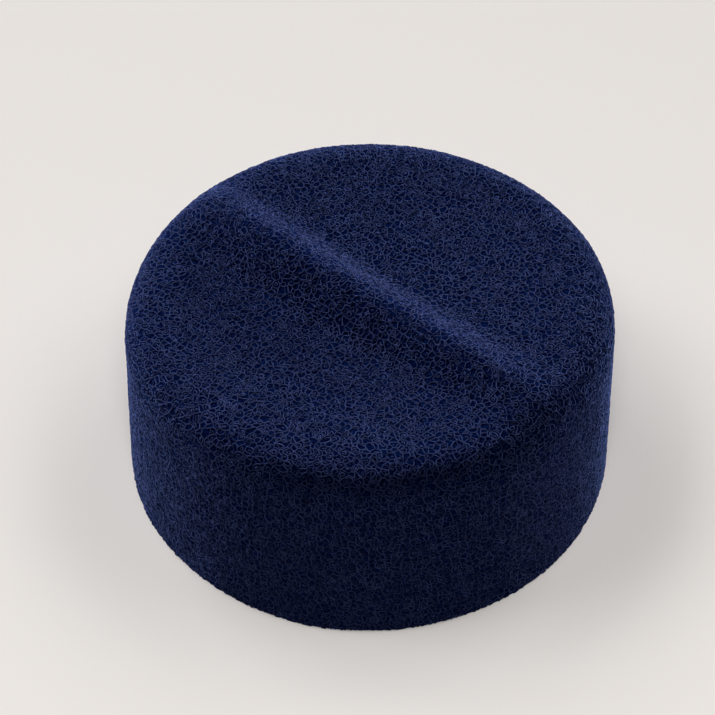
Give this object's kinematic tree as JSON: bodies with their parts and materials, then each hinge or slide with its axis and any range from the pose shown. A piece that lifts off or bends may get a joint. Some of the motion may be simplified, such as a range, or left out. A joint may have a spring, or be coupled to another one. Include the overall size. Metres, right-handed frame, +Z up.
{
  "type": "chechia cap",
  "caption": "Low brimless cap of fulled felt, open below, with a rounded shoulder and a sagging crown that carries one soft fold.",
  "frame": {"origin": "centre of the rim, on the plane that the cap rests on", "axes": "+Z up out of the crown, +Y towards the back of the head along the fold, +X towards the wearer's right"},
  "size_m": [0.1908, 0.1898, 0.0877],
  "materials": {
    "felt": "navy fulled wool felt with a fine curly nap, matt"
  },
  "bodies": {
    "root": {"felt_cap": "felt"}
  },
  "joints": []
}
